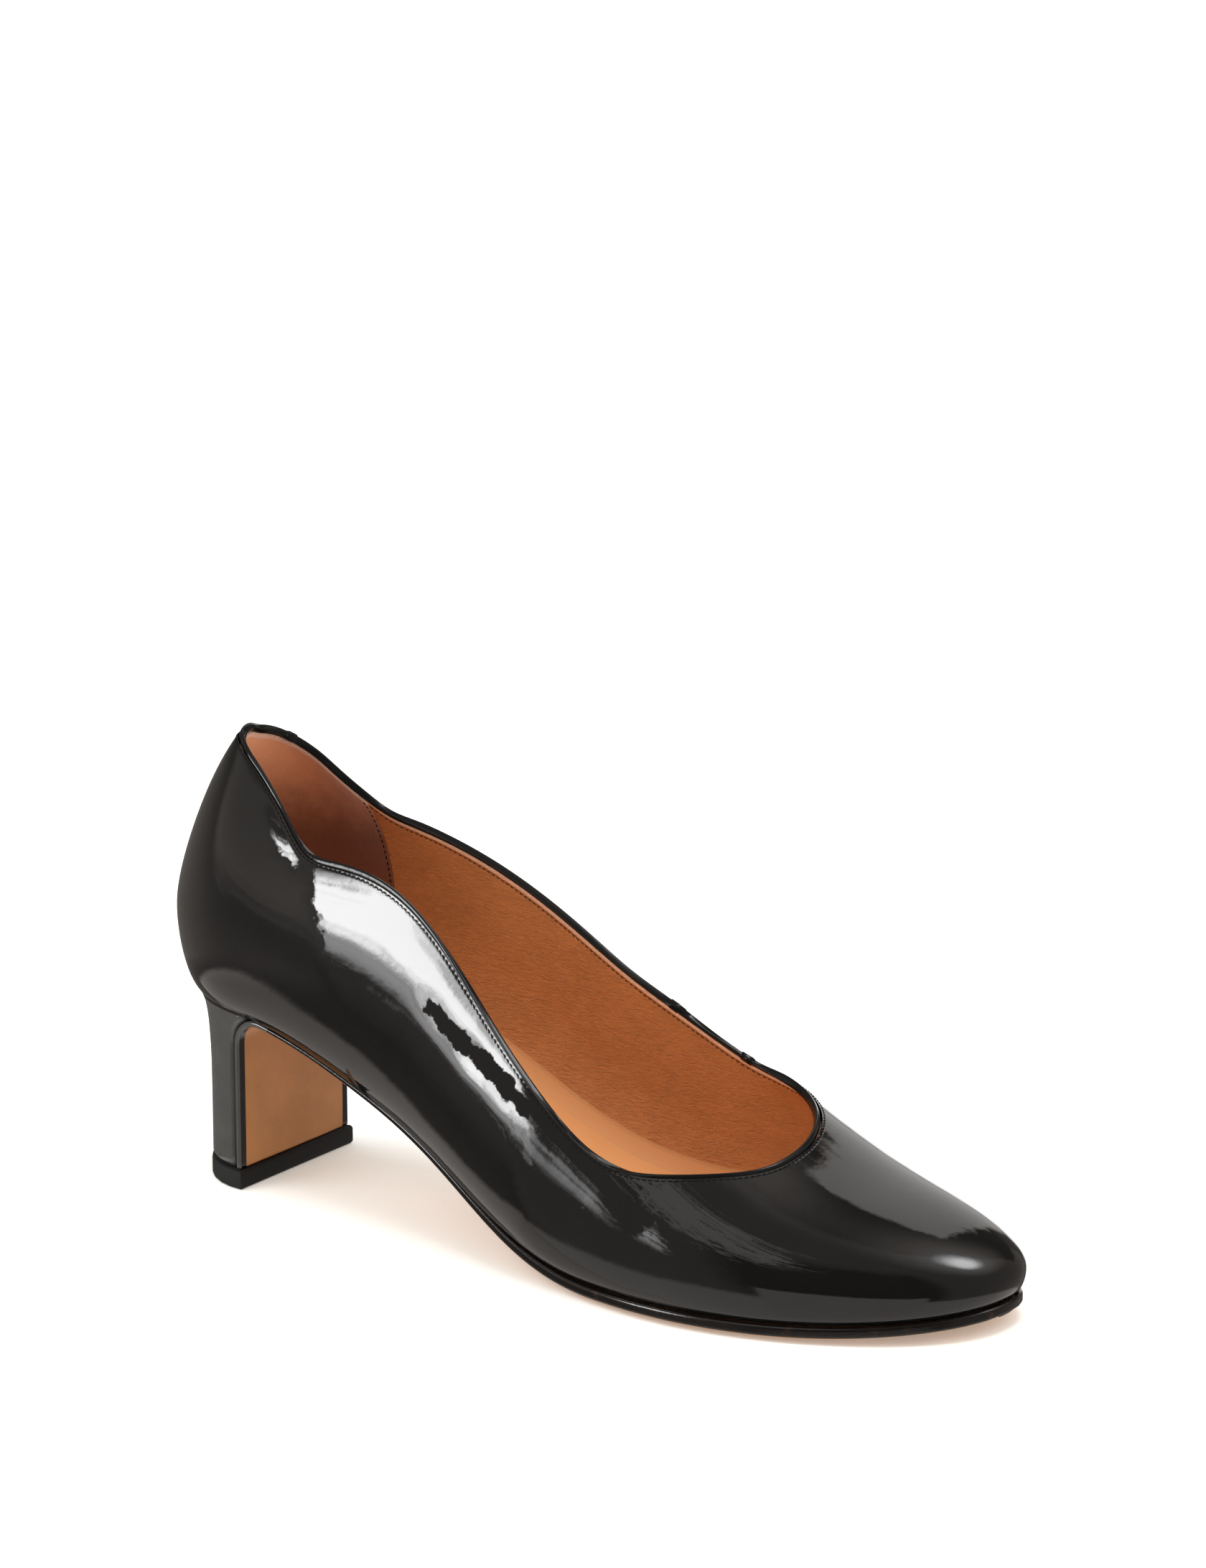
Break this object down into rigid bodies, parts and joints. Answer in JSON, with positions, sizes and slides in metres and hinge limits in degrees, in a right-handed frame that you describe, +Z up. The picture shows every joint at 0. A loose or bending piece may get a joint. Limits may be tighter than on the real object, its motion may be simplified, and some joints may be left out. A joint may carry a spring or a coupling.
{
  "type": "block heel shoe",
  "caption": "Women's court shoe for the right foot: glossy black upper with a waved and notched topline, tan inside, thin sole and a straight D-section block heel.",
  "frame": {"origin": "on the floor, at the middle of the box round the shoe", "axes": "+X from the heel to the toe, +Y to the inner side of the foot, +Z up"},
  "size_m": [0.2406, 0.0814, 0.1152],
  "materials": {
    "patent_leather": "high gloss",
    "binding_leather": "gloss",
    "tan_leather": "satin",
    "sole_leather": "satin",
    "top_piece_rubber": "matte"
  },
  "bodies": {
    "root": {"upper": "patent_leather", "topline_binding": "binding_leather", "insole": "tan_leather", "outsole": "sole_leather", "heel": "patent_leather", "top_piece": "top_piece_rubber"}
  },
  "joints": []
}
